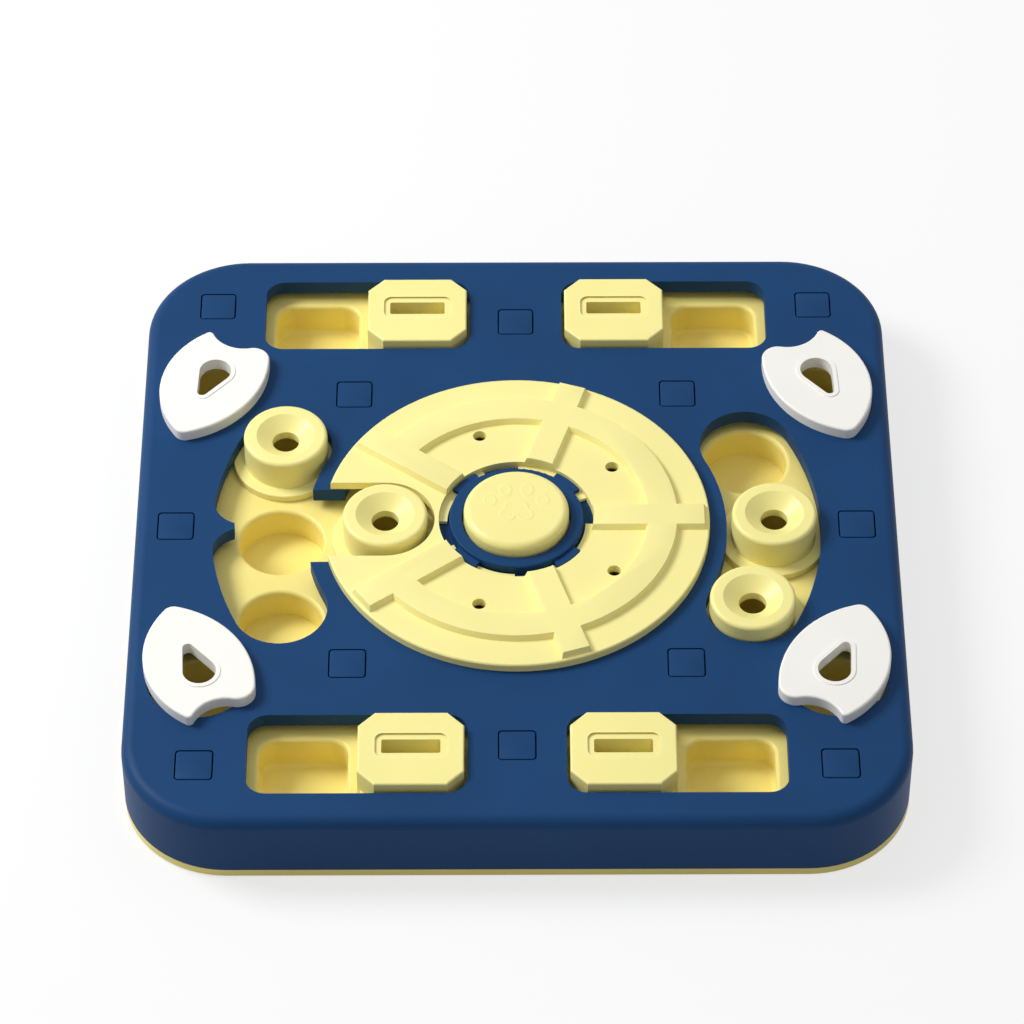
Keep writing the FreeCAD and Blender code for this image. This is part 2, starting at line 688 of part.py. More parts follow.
# Round pegs: hollow cup with a dished top, a through hole and a flange held under the cover
def make_peg(label, x, y):
    body = new_body(label)
    low = DECK + S["run_gap"]
    flange = low + S["peg_flange_thick"]
    top = S["peg_top"]
    r = S["peg_radius"]
    wall = S["peg_wall"]
    hole = S["peg_hole_radius"]
    dish_low = top - S["peg_dish_depth"]
    throat = dish_low - S["peg_throat"]
    sleeve = hole + S["peg_throat_wall"]
    profile = [(r - wall, low), (S["peg_flange_radius"], low), (S["peg_flange_radius"], flange),
               (r, flange), (r, top), (S["peg_dish_radius"], top), (hole, dish_low), (hole, throat),
               (sleeve, throat), (sleeve, dish_low - wall), (S["peg_dish_radius"], top - wall),
               (r - wall, top - wall)]
    turned = revolve(body, label + "_turned", profile)

    def crown(edge):
        return at_level(edge, top) and edge.BoundBox.XLength > 2 * S["peg_dish_radius"] + wall

    def flange_edge(edge):
        return at_level(edge, flange) and edge.BoundBox.XLength > 2 * r + wall

    top_round = fillet(body, label + "_top_round", turned, crown, "peg_round")
    fillet(body, label + "_flange_round", top_round, flange_edge, "flange_round")
    body.Placement = Placement(Vector(x, y, 0), Rotation())
    return body


peg_places = {
    "left_rear_peg": LEFT_WELLS[0],
    "lock_peg": ORBIT_WELLS[0],
    "right_middle_peg": ARC_WELLS[1],
    "right_front_peg": on_circle(S["track_radius"], -S["front_peg_angle"]),
}
for label, (x, y) in peg_places.items():
    NODES.append(make_peg(label, x, y))

# Turntable: disc with a notch, raised ring and spokes, scent holes and a bayonet lip
disc = new_body("turntable")
DISC_LOW = "Sizes.cover_level + Sizes.disc_gap"
DISC_TOP = "Sizes.cover_level + Sizes.disc_gap + Sizes.disc_thick"
RIB_TOP = "Sizes.cover_level + Sizes.disc_gap + Sizes.disc_thick + Sizes.rib_height"
pad(disc, "disc_plate", circle(0, 0, S["disc_radius"]), DISC_LOW, DISC_TOP)
ring_out = S["ring_outer"]
ring_in = S["ring_inner"]
RING_END = 2 * S["orbit_step"]
end_out = [on_circle(ring_out, a) for a in (-RING_END, RING_END)]
end_in = [on_circle(ring_in, a) for a in (-RING_END, RING_END)]
pad(disc, "disc_ring", [("T", end_out[0], (ring_out, 0), end_out[1]), ("L", end_out[1], end_in[1]),
                        ("T", end_in[1], (ring_in, 0), end_in[0]), ("L", end_in[0], end_out[0])],
    DISC_TOP, RIB_TOP)
for index in range(5):
    half = S["spoke_width"] / 2
    near = S["disc_hole_radius"] - S["spoke_root"]
    far = S["spoke_reach"]
    turn = math.radians(index * S["orbit_step"])
    corners = [(near, -half), (far, -half), (far, half), (near, half)]
    spun = [(px * math.cos(turn) - py * math.sin(turn), px * math.sin(turn) + py * math.cos(turn))
            for px, py in corners]
    pad(disc, "spoke_%d" % index, polygon(spun), DISC_TOP, RIB_TOP)
DISC_CUT = "Sizes.cover_level - Sizes.cut_under"
LIP_LEVEL = "Sizes.cover_level + Sizes.disc_gap + Sizes.disc_lip_thick"
pocket(disc, "disc_eye", circle(0, 0, S["disc_hole_radius"]), RIB_TOP, LIP_LEVEL)
pocket(disc, "disc_bore", circle(0, 0, S["disc_lip_radius"]), RIB_TOP, DISC_CUT)
bayonets = []
gap_half = S["lug_span"] / 2 + S["bayonet_gap"]
for angle in [S["bayonet_turn"] + 90 * quarter for quarter in range(4)]:
    ring_r = S["disc_hole_radius"]
    root_r = S["disc_lip_radius"] - S["bayonet_depth"]
    a0 = on_circle(ring_r, angle - gap_half)
    a1 = on_circle(ring_r, angle + gap_half)
    b0 = on_circle(root_r, angle - gap_half)
    b1 = on_circle(root_r, angle + gap_half)
    bayonets += [("T", a0, on_circle(ring_r, angle), a1), ("L", a1, b1), ("L", b1, b0), ("L", b0, a0)]
pocket(disc, "bayonet_gaps", bayonets, RIB_TOP, DISC_CUT)
scents = []
for angle in ORBIT_ANGLES[1:]:
    x, y = on_circle(S["scent_circle"], angle)
    scents += circle(x, y, S["scent_radius"])
pocket(disc, "scent_holes", scents, RIB_TOP, DISC_CUT)
nh = S["notch_half"]
orbit = S["orbit_radius"]
outside = S["disc_radius"] + S["cut_over"]
notch = [("L", (-outside, -nh), (-orbit, -nh)), ("T", (-orbit, -nh), (-orbit + nh, 0), (-orbit, nh)),
         ("L", (-orbit, nh), (-outside, nh)), ("L", (-outside, nh), (-outside, -nh))]
notch_cut = pocket(disc, "peg_notch", notch, RIB_TOP, DISC_CUT)
disc_top_z = S["cover_level"] + S["disc_gap"] + S["disc_thick"]


def disc_rim(edge):
    box = edge.BoundBox
    return at_level(edge, disc_top_z) and box.XLength > S["disc_radius"]


fillet(disc, "disc_rim_round", notch_cut, disc_rim, "disc_round")
NODES.append(disc)

# Corner lids: shield outline with a drop-shaped hole and a pivot boss.
# The circles, each a centre and a radius, lie in the place of the rear left lid.
INNER_SIDE = ((-136.3, 83.7), 40.0)
OUTER_SIDE = ((-102.6, 68.0), 36.0)
PAW_NOTCH = ((-106.5, 103.2), 13.2)
DROP_WIDE = ((-117.2, 77.0), 6.2)
DROP_NARROW = ((-121.9, 65.9), 2.0)


def meet(first, second, low):
    """Crossing point of two circles, the lower or the upper one."""
    (x0, y0), r0 = first
    (x1, y1), r1 = second
    reach = math.hypot(x1 - x0, y1 - y0)
    along = (r0 * r0 - r1 * r1 + reach * reach) / (2 * reach)
    off = math.sqrt(r0 * r0 - along * along)
    ux, uy = (x1 - x0) / reach, (y1 - y0) / reach
    found = [(x0 + along * ux - k * off * uy, y0 + along * uy + k * off * ux) for k in (-1, 1)]
    return sorted(found, key=low)[0]


LID_TIP = meet(INNER_SIDE, OUTER_SIDE, lambda p: p[1])
LID_RIGHT = meet(INNER_SIDE, PAW_NOTCH, lambda p: -p[0])
LID_LEFT = meet(OUTER_SIDE, PAW_NOTCH, lambda p: p[0])


def bow(side, start, end):
    """Middle point of the arc of a circle between two of its points."""
    (cx, cy), radius = side
    mx, my = (start[0] + end[0]) / 2 - cx, (start[1] + end[1]) / 2 - cy
    scale = radius / math.hypot(mx, my)
    return (cx + mx * scale, cy + my * scale)


def lid_chain(sx, sy):
    corners = [LID_TIP, LID_RIGHT, LID_LEFT]
    sides = [INNER_SIDE, PAW_NOTCH, OUTER_SIDE]
    points = []
    for index in range(3):
        start, end = corners[index], corners[(index + 1) % 3]
        points += [start, bow(sides[index], start, end)]
    return chain([(-sx * x, sy * y) for x, y in points])


def drop_outline(grow, sx, sy):
    """Drop-shaped hole: a wide round end and a narrow round end joined by tangents."""
    wide, narrow = DROP_WIDE[0], DROP_NARROW[0]
    big, small = DROP_WIDE[1] + grow, DROP_NARROW[1] + grow
    dx, dy = narrow[0] - wide[0], narrow[1] - wide[1]
    reach = math.hypot(dx, dy)
    heading = math.atan2(dy, dx)
    spread = math.acos((big - small) / reach)
    ends = []
    for turn in (heading + spread, heading - spread):
        ends.append(((wide[0] + big * math.cos(turn), wide[1] + big * math.sin(turn)),
                     (narrow[0] + small * math.cos(turn), narrow[1] + small * math.sin(turn))))
    back = (wide[0] - big * math.cos(heading), wide[1] - big * math.sin(heading))
    tip = (narrow[0] + small * math.cos(heading), narrow[1] + small * math.sin(heading))
    outline = [("T", ends[0][0], back, ends[1][0]), ("L", ends[1][0], ends[1][1]),
               ("T", ends[1][1], tip, ends[0][1]), ("L", ends[0][1], ends[0][0])]
    return [(item[0],) + tuple((-sx * p[0], sy * p[1]) for p in item[1:]) for item in outline]


def make_lid(label, sx, sy):
    body = new_body(label)
    px, py = sx * S["pivot_x"], sy * S["pivot_y"]
    low = "Sizes.cover_level + Sizes.lid_gap"
    high = low + " + Sizes.lid_thick"
    shaped = pad(body, label + "_plate", moved(lid_chain(sx, sy), -px, -py), low, high)
    corners = (("tip", LID_TIP), ("right", LID_RIGHT), ("left", LID_LEFT))
    for name, corner in corners:
        cx, cy = -sx * corner[0] - px, sy * corner[1] - py

        def upright(edge):
            return edge.BoundBox.ZLength > S["lid_thick"] / 2 and inside(edge, cx, cy, S["run_gap"])

        shaped = fillet(body, label + "_" + name, shaped, upright, "lid_%s_round" % name)

    def top_line(edge):
        return at_level(edge, S["cover_level"] + S["lid_gap"] + S["lid_thick"])

    fillet(body, label + "_edge", shaped, top_line, "lid_round")
    rim = moved(drop_outline(S["drop_rim"], sx, sy), -px, -py)
    pad(body, label + "_rim", rim, low, high + " + Sizes.drop_rim_height")
    pad(body, label + "_boss", circle(0, 0, S["pivot_boss_radius"]),
        "Sizes.cover_level - Sizes.cover_plate - Sizes.boss_proud", low + " + Sizes.join_depth")
    hole = moved(drop_outline(0, sx, sy), -px, -py)
    pocket(body, label + "_hole", hole, high + " + Sizes.cut_under", "Sizes.deck_level")
    pocket(body, label + "_bore", circle(0, 0, S["screw_radius"] + S["screw_gap"]),
           "Sizes.cover_level + Sizes.screw_bore_depth", "Sizes.deck_level")
    body.Placement = Placement(Vector(px, py, 0), Rotation())
    return body


def make_lid_screw(label, sx, sy):
    """Screw with a wide washer head under the cover, turned up into the lid boss."""
    body = new_body(label)
    seat = PLATE_UNDER - S["boss_proud"]
    washer = seat - S["screw_flange_thick"]
    under = washer - S["screw_head_high"]
    end = S["cover_level"] + S["screw_reach"]
    flange, shank, head = S["screw_flange_radius"], S["screw_radius"], S["screw_head_radius"]
    profile = [(0, under), (head, under), (head + S["screw_head_flare"], washer), (flange, washer),
               (flange, seat), (shank, seat), (shank, end - S["screw_tip"]),
               (S["screw_tip_radius"], end), (0, end)]
    revolve(body, label + "_turned", profile)
    slot = rectangle(2 * S["screw_slot_reach"], S["screw_slot_wide"])
    recess = new_sketch(body, label + "_recess_outline", slot, "%f" % (under + S["screw_slot_deep"]))
    cut = body.newObject("PartDesign::Pocket", label + "_recess")
    cut.Profile = recess
    cut.Length = 2 * S["screw_head_high"]
    body.Tip = cut
    body.Placement = Placement(Vector(sx * S["pivot_x"], sy * S["pivot_y"], 0), Rotation())
    return body


for label, (sx, sy) in zip(("rear_left_lid", "rear_right_lid", "front_left_lid", "front_right_lid"),
                           CORNER_SIGNS):
    NODES.append(make_lid(label, sx, sy))
    NODES.append(make_lid_screw(label + "_screw", sx, sy))

# Squeaker: button cap held in the hub, rubber bulb under it, reed insert in the bulb
button = new_body("squeak_button")
b = S["button_radius"]
bf = S["button_flange_radius"]
shoulder = S["cover_level"] - S["button_shoulder_gap"]
skirt_low = shoulder - S["button_flange_thick"]
cap_top = S["button_top"]
crown = S["button_crown"]
bw_cap = S["button_wall"]
# Radius inset and drop below the top of each point of the rounded edge
EDGE_STEPS = ((0.0, 4.5), (0.4, 2.6), (1.5, 1.1), (3.4, 0.35))
profile = [(b - bw_cap, skirt_low), (bf, skirt_low), (bf, shoulder), (b, shoulder)]
profile += [(b - inset, cap_top - drop) for inset, drop in EDGE_STEPS]
profile += [(0, cap_top), (0, cap_top - crown), (b - 2 * bw_cap + 0.2, cap_top - crown - 0.4),
            (b - bw_cap, cap_top - 2 * crown + 0.2)]
revolve(button, "button_turned", profile)


def paw_shapes():
    """Pad of the paw as two rounded lobes and four toes, all as closed ovals."""
    result = []
    for x, y, r in ((-8.2, 4.0, 2.3), (-3.3, 8.4, 2.6), (3.3, 8.4, 2.6), (8.2, 4.0, 2.3)):
        result += circle(x, y, r)
    result += chain([(-6.6, -4.4), (-6.0, 0.6), (-1.6, 3.4), (0.0, 3.9), (1.6, 3.4), (6.0, 0.6),
                     (6.6, -4.4), (4.6, -7.0), (1.8, -6.2), (0.0, -5.7), (-1.8, -6.2), (-4.6, -7.0)])
    return result


pad(button, "paw_relief", paw_shapes(), "Sizes.button_top - Sizes.paw_root",
    "Sizes.button_top + Sizes.paw_proud")
NODES.append(button)

bulb = new_body("squeaker_bulb")
floor_z = S["well_floor"]
br = S["bulb_radius"]
bw = S["bulb_wall"]
mouth = S["mouth_radius"]
bulb_roof = cap_top - S["button_crown"] - S["crown_gap"]
mid = (floor_z + skirt_low) / 2
BULB_OUTER = [(mouth, floor_z), (br - 3, floor_z), (br, floor_z + 3), (br, mid + 1),
              (br - 2.5, skirt_low), (br - 3.0, bulb_roof - 3), (br - 5.5, bulb_roof - 0.6),
              (0, bulb_roof - 0.1)]
BULB_INNER = [(0, bulb_roof - 0.1 - bw), (br - 6.0, bulb_roof - 0.6 - bw),
              (br - 3.0 - bw, bulb_roof - 3.6), (br - 2.5 - bw, skirt_low - 0.3),
              (br - bw, mid + 0.6), (br - bw, floor_z + 3.6), (br - 3.5, floor_z + bw),
              (mouth, floor_z + bw)]
revolve(bulb, "bulb_turned", BULB_OUTER + BULB_INNER)
NODES.append(bulb)

reed = new_body("squeaker_reed")
bore = S["reed_bore"]
stem = S["reed_stem"]
reed_low = floor_z - S["reed_bore"]
reed_seat = floor_z + bw + S["reed_seat"]
reed_top = floor_z + 1.5 * bw
profile = [(bore, reed_low), (stem, reed_low), (stem, reed_seat), (S["reed_flange"], reed_seat),
           (S["reed_flange"], reed_seat + 1), (S["reed_tip"], reed_top + 1.6), (bore, reed_top + 1.6)]
revolve(reed, "reed_turned", profile)
NODES.append(reed)

doc.recompute()
for item in doc.Objects:
    bad = [s for s in item.State if s in ("Invalid", "Error")]
    if bad:
        raise RuntimeError("%s is %s" % (item.Name, bad))
    if hasattr(item, "Shape") and item in NODES:
        if item.Shape.isNull() or not item.Shape.isValid():
            raise RuntimeError("%s has a bad shape" % item.Name)
for node in NODES:
    node.Shape.exportStep("parts/%s.step" % node.Label)
    box = node.Shape.BoundBox
    print("%-26s solids %d volume %9.1f  x %.1f..%.1f y %.1f..%.1f z %.2f..%.2f" % (
        node.Label, len(node.Shape.Solids), node.Shape.Volume, box.XMin, box.XMax, box.YMin, box.YMax,
        box.ZMin, box.ZMax))
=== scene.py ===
import json
import math

import bmesh
import bpy
from mathutils import Matrix, Vector


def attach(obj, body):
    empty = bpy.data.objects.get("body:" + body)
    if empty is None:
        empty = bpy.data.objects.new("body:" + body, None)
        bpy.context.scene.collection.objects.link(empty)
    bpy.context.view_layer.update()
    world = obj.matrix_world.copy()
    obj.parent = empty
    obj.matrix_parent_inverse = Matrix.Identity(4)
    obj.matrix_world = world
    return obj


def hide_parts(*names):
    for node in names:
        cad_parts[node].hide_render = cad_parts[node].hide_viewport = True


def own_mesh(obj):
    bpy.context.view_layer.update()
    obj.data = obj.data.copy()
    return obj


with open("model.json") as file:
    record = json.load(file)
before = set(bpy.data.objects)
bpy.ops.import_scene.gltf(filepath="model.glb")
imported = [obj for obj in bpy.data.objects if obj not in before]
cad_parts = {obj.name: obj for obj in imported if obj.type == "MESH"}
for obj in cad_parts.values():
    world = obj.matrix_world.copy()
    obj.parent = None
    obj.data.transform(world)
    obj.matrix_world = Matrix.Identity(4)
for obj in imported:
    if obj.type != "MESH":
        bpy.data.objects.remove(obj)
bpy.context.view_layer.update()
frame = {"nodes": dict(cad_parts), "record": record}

# Counts, and the angle from one spoke to the next in degrees.
BULB_FOLDS = 4
SPOKE_COUNT = 5
DISC_STEP = 360 // SPOKE_COUNT

# Shares of the bulb's height, from its mouth up.
BULB_FOOT_SHARE = 0.09
BULB_FOLDS_START = 0.12
BULB_FOLDS_END = 0.8
BULB_CROWN_START = 0.72

# Width of the mouth beside the bulb's mean, how blunt the crown is, and the roof's thickness
# beside the wall's.
BULB_FOOT_WIDTH = 0.55
BULB_CROWN_POWER = 2.4
BULB_ROOF = 0.8

# Sizes and heights of the pieces added here, in metres.
BULB_FLOOR = 0.0083
BULB_TOP = 0.03845
BULB_MEAN_RADIUS = 0.0145
BULB_FOLD_DEPTH = 0.0014
BULB_WALL = 0.0011
BULB_MOUTH = 0.0056
BULB_TIP_OUTER = 0.0016
BULB_TIP_INNER = 0.0008
BUTTON_RADIUS = 0.020
BUTTON_TOP = 0.0412
BUTTON_EDGE = 0.0026
BUTTON_EDGE_DROP = 0.0003
BUTTON_WALL = 0.0022
BUTTON_CORNER = 0.0012
BUTTON_FLANGE_RADIUS = 0.0226
BUTTON_FLANGE_LOW = 0.0286
BUTTON_FLANGE_HIGH = 0.0310
PAW_RISE = 0.00012
DISC_TOP = 0.0349
RING_INNER = 0.0493
RING_OUTER = 0.0619
SPOKE_NEAR = 0.02925
SPOKE_FAR = 0.0722
SPOKE_HALF = 0.0060
RIB_RISE = 0.0025
RIB_SINK = 0.0006
RIB_SLOPE = 0.0009
RIB_EDGE = 0.00045
PLUG_SIDE = 0.0131
PLUG_UNDER = 0.0272
PLUG_TOP = 0.0312
PLUG_ROUND = 0.0012
STEM_SIDE = 0.0096
STEM_LOW = 0.0130
STEM_HIGH = 0.0276
STEM_ROUND = 0.0005
STEM_TAPER = 0.001

# How much narrower a plug's head is and how far below its top, in metres.
PLUG_EASING = ((0.0, 0.0002), (0.00012, 0.00006), (0.0004, 0.0))

# Toes of the paw, in millimetres: place, half sizes and lean in degrees.
TOES = (
    (-10.0, 3.7, 2.6, 2.9, 14),
    (-4.1, 8.9, 2.4, 3.3, 5),
    (4.1, 8.9, 2.4, 3.3, -5),
    (10.0, 3.7, 2.6, 2.9, -14),
)
# Lobes that together make the paw's pad, in the same way.
PAD_LOBES = (
    (0.0, -0.2, 4.6, 4.2, 0),
    (-3.4, -3.6, 3.1, 3.3, 12),
    (3.4, -3.6, 3.1, 3.3, -12),
)

# Middles of the square plugs, in metres.
CORNER_SIGNS = [(x, y) for x in (-1, 1) for y in (-1, 1)]
PLUG_PLACES = [(x * 0.1178, y * 0.1178) for x, y in CORNER_SIGNS]
PLUG_PLACES += [(x * 0.0629, y * 0.0692) for x, y in CORNER_SIGNS]
PLUG_PLACES += [(0.0, -0.1088), (0.0, 0.1088), (-0.1295, 0.0), (0.1295, 0.0)]

# Strength of the surround as a light. Where it is seen it has a strength of 1, which is white.
WORLD_LEVEL = 0.45

# Greys of the floor, as the camera sees it and as it throws light back.
FLOOR_SHOWN = 0.94
FLOOR_BOUNCE = 0.62

# Waves to the metre of the materials' noises.
CLOUD_WAVES = 26.0
FLOW_WAVES = 70.0
STREAK_WAVES = 60.0
# The next noise breaks the painted edge highlight into patches.
HIGHLIGHT_BREAKUP_WAVES = 420.0
SPECKLE_WAVES = 1500.0
BLOOM_WAVES = 90.0
SKIN_WAVES = 2200.0
BRUSH_WAVES = 900.0

# Reliefs of the materials and the reach of the painted edge highlight, in metres.
FLOW_RELIEF = 0.00006
SKIN_RELIEF = 0.00004
BRUSH_RELIEF = 0.00002
# How far in from an edge the painted highlight reaches.
EDGE_HIGHLIGHT_REACH = 0.0009

# Colours of the parts, as sRGB values from 0 to 255.
YELLOW_TRAY = (249, 232, 138)
YELLOW_PART = (252, 241, 157)
YELLOW_DISC = (252, 241, 160)
NAVY = (20, 63, 109)
WHITE_LID = (250, 248, 242)
CREAM_BULB = (232, 226, 204)
GREY_REED = (222, 221, 214)
DARK_RUBBER = (24, 25, 27)
ZINC = (176, 178, 181)

# Moulded plastics by slot: colour, roughness, mottling, strength of the painted edge highlight,
# depth of the grain in metres, specular level and how much smoother the rubbed streaks are.
MOULDED = {
    "tray_plastic": (YELLOW_TRAY, 0.42, 0.012, 0.35, 0.00002, 0.35, 0.08),
    "cover_plastic": (NAVY, 0.5, 0.03, 0.3, 0.00003, 0.14, 0.1),
    "plug_plastic": (NAVY, 0.48, 0.03, 0.3, 0.00003, 0.14, 0.1),
    "slider_plastic": (YELLOW_PART, 0.38, 0.01, 0.4, 0.00002, 0.35, 0.1),
    "peg_plastic": (YELLOW_PART, 0.36, 0.01, 0.4, 0.00002, 0.35, 0.1),
    "disc_plastic": (YELLOW_DISC, 0.4, 0.01, 0.4, 0.00002, 0.35, 0.1),
    "lid_plastic": (WHITE_LID, 0.35, 0.006, 0.2, 0.00002, 0.35, 0.08),
    "button_plastic": (YELLOW_PART, 0.34, 0.01, 0.4, 0.00002, 0.35, 0.1),
    "reed_plastic": (GREY_REED, 0.45, 0.01, 0.3, 0.00002, 0.3, 0.0),
}


def linear(rgb):
    """The linear colour of an sRGB one, with its alpha."""
    values = []
    for part in rgb:
        share = part / 255
        values.append(share / 12.92 if share <= 0.04045 else ((share + 0.055) / 1.055) ** 2.4)
    return (*values, 1.0)


def tinted(rgb, share):
    """A colour a share lighter or darker than the given one."""
    return tuple(max(0, min(255, part * (1 + share))) for part in rgb)


class Maker:
    """Shorthand for the nodes of one material."""

    def __init__(self, name):
        self.material = bpy.data.materials.new(name)
        self.material.use_nodes = True
        self.tree = self.material.node_tree
        self.tree.nodes.clear()
        self.place = self.add("ShaderNodeTexCoord").outputs["Object"]

    def add(self, kind, **settings):
        """A new node of a kind, with its settings."""
        node = self.tree.nodes.new(kind)
        for key, value in settings.items():
            setattr(node, key, value)
        return node

    def link(self, source, target):
        """Joins an output to an input."""
        self.tree.links.new(source, target)

    def noise(self, scale, detail=2.0, rough=0.5, stretch=None):
        """Noise over the part, whose scale is in waves to the metre."""
        node = self.add("ShaderNodeTexNoise")
        node.inputs["Scale"].default_value = scale
        node.inputs["Detail"].default_value = detail
        node.inputs["Roughness"].default_value = rough
        source = self.place
        if stretch:
            mapping = self.add("ShaderNodeMapping")
            mapping.inputs["Scale"].default_value = stretch
            self.link(self.place, mapping.inputs["Vector"])
            source = mapping.outputs["Vector"]
        self.link(source, node.inputs["Vector"])
        return node.outputs["Fac"]

    def span(self, value, low, high, new_low, new_high):
        """The value moved from one range to another and held in it."""
        node = self.add("ShaderNodeMapRange")
        for key, number in zip(
            ("From Min", "From Max", "To Min", "To Max"), (low, high, new_low, new_high)
        ):
            node.inputs[key].default_value = number
        self.link(value, node.inputs["Value"])
        return node.outputs["Result"]

    def mix(self, share, first, second):
        """Two colours mixed, where each is a colour or another node's output."""
        node = self.add("ShaderNodeMix", data_type="RGBA")
        self.link(share, node.inputs["Factor"])
        for socket, value in ((node.inputs[6], first), (node.inputs[7], second)):
            if isinstance(value, tuple):
                socket.default_value = value
            else:
                self.link(value, socket)
        return node.outputs[2]

    def edges(self, radius):
        """How far the surface bends near the point, from 0 on a flat to 1 on an edge."""
        soft = self.add("ShaderNodeBevel", samples=4)
        soft.inputs["Radius"].default_value = radius
        sharp = self.add("ShaderNodeNewGeometry")
        product = self.add("ShaderNodeVectorMath", operation="DOT_PRODUCT")
        self.link(soft.outputs["Normal"], product.inputs[0])
        self.link(sharp.outputs["Normal"], product.inputs[1])
        return self.span(product.outputs["Value"], 0.995, 0.86, 0.0, 1.0)

    def bump(self, height, distance, strength=1.0, below=None):
        """A normal bent by a height, on top of another where one is given."""
        node = self.add("ShaderNodeBump")
        node.inputs["Distance"].default_value = distance
        node.inputs["Strength"].default_value = strength
        self.link(height, node.inputs["Height"])
        if below is not None:
            self.link(below, node.inputs["Normal"])
        return node.outputs["Normal"]

    def surface(self, colour, rough, normal, **values):
        """The finished material."""
        shader = self.add("ShaderNodeBsdfPrincipled")
        self.link(colour, shader.inputs["Base Color"])
        self.link(rough, shader.inputs["Roughness"])
        self.link(normal, shader.inputs["Normal"])
        for key, value in values.items():
            shader.inputs[key.replace("_", " ")].default_value = value
        output = self.add("ShaderNodeOutputMaterial")
        self.link(shader.outputs["BSDF"], output.inputs["Surface"])
        return self.material


def moulded(name, rgb, rough, mottle, edge_highlight, grain, specular, scuffs):
    """Moulded plastic: spark-eroded grain, faint flow clouds, painted highlights on the edges
    and light rubbing.
    """
    make = Maker(name)
    clouds = make.noise(CLOUD_WAVES, detail=3.0)
    base = make.mix(
        make.span(clouds, 0.3, 0.7, 0.0, 1.0),
        linear(tinted(rgb, -mottle)),
        linear(tinted(rgb, mottle)),
    )
    # The paler edges mixed in below are a painted highlight, broken into patches by noise.
    edge = make.edges(EDGE_HIGHLIGHT_REACH)
    highlight_breakup = make.noise(HIGHLIGHT_BREAKUP_WAVES, detail=2.0)
    patchy_highlight = make.add("ShaderNodeMath", operation="MULTIPLY")
    make.link(edge, patchy_highlight.inputs[0])
    make.link(make.span(highlight_breakup, 0.35, 0.65, 0.35 * edge_highlight, edge_highlight), patchy_highlight.inputs[1])
    colour = make.mix(patchy_highlight.outputs["Value"], base, linear(tinted(rgb, 0.3)))
    streaks = make.noise(STREAK_WAVES, detail=3.0, rough=0.6, stretch=(1.0, 14.0, 6.0))
    worn = make.span(streaks, 0.6, 0.76, rough, rough - scuffs)
    speckle = make.noise(SPECKLE_WAVES, detail=2.0, rough=0.6)
    waves = make.noise(FLOW_WAVES, detail=1.0)
    normal = make.bump(waves, FLOW_RELIEF, 0.35)
    normal = make.bump(speckle, grain, 0.6, below=normal)
    return make.surface(colour, worn, normal, Specular_IOR_Level=specular, IOR=1.49)


def elastomer(name, rgb, rough):
    """Matt rubber with a dusty bloom and a fine skin."""
    make = Maker(name)
    bloom = make.noise(BLOOM_WAVES, detail=4.0, rough=0.6)
    colour = make.mix(
        make.span(bloom, 0.35, 0.7, 0.0, 1.0), linear(rgb), linear(tinted(rgb, 0.12))
    )
    skin = make.noise(SKIN_WAVES, detail=2.0)
    return make.surface(
        colour,
        make.span(bloom, 0.3, 0.7, rough, rough + 0.12),
        make.bump(skin, SKIN_RELIEF, 0.5),
        Specular_IOR_Level=0.35,
    )


def plated(name, rgb):
    """Zinc-plated steel, brushed round the screw's head."""
    make = Maker(name)
    brushed = make.noise(BRUSH_WAVES, detail=3.0, stretch=(1.0, 1.0, 8.0))
    colour = make.mix(
        make.span(brushed, 0.3, 0.7, 0.0, 1.0), linear(tinted(rgb, -0.1)), linear(rgb)
    )
    return make.surface(
        colour,
        make.span(brushed, 0.3, 0.7, 0.24, 0.4),
        make.bump(brushed, BRUSH_RELIEF, 0.5),
        Metallic=1.0,
    )


MATERIALS = {slot: moulded(slot, *values) for slot, values in MOULDED.items()}
MATERIALS["foot_rubber"] = elastomer("foot_rubber", DARK_RUBBER, 0.7)
MATERIALS["bulb_rubber"] = elastomer("bulb_rubber", CREAM_BULB, 0.55)
MATERIALS["screw_steel"] = plated("screw_steel", ZINC)

slot_of = {part["node"]: part["material_slot"] for part in frame["record"]["subparts"]}
for node, piece in frame["nodes"].items():
    piece.data.materials.clear()
    piece.data.materials.append(MATERIALS[slot_of[node]])


def polar(radius, degrees):
    """The point at a distance and an angle from the middle."""
    angle = math.radians(degrees)
    return radius * math.cos(angle), radius * math.sin(angle)


def smoothed(data, sharp_above=50.0):
    """Shades the mesh smooth, with edges that bend more than an angle kept sharp."""
    for face in data.polygons:
        face.use_smooth = True
    data.set_sharp_from_angle(angle=math.radians(sharp_above))


def placed(name, mesh):
    """The object of a finished bmesh, which is freed."""
    data = bpy.data.meshes.new(name)
    mesh.to_mesh(data)
    mesh.free()
    piece = bpy.data.objects.new(name, data)
    bpy.context.scene.collection.objects.link(piece)
    return piece


def dressed(piece, slot, body, replaced=None):
    """Gives a piece its finish and the body it rides, and hides the node it replaces."""
    piece.data.materials.clear()
    piece.data.materials.append(MATERIALS[slot])
    if replaced:
        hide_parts(replaced)
    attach(piece, body)


def lathe(name, profile, steps=96):
    """A closed mesh turned about the vertical axis from (radius, height) points."""
    mesh = bmesh.new()
    rings = []
    for step in range(steps):
        turn = 360 * step / steps
        rings.append(
            [mesh.verts.new((*polar(radius, turn), height)) for radius, height in profile]
        )
    for step in range(steps):
        here = rings[step]
        there = rings[(step + 1) % steps]
        for index in range(len(profile)):
            after = (index + 1) % len(profile)
            mesh.faces.new((here[index], there[index], there[after], here[after]))
    bmesh.ops.recalc_face_normals(mesh, faces=mesh.faces)
    piece = placed(name, mesh)
    for face in piece.data.polygons:
        face.use_smooth = True
    return piece


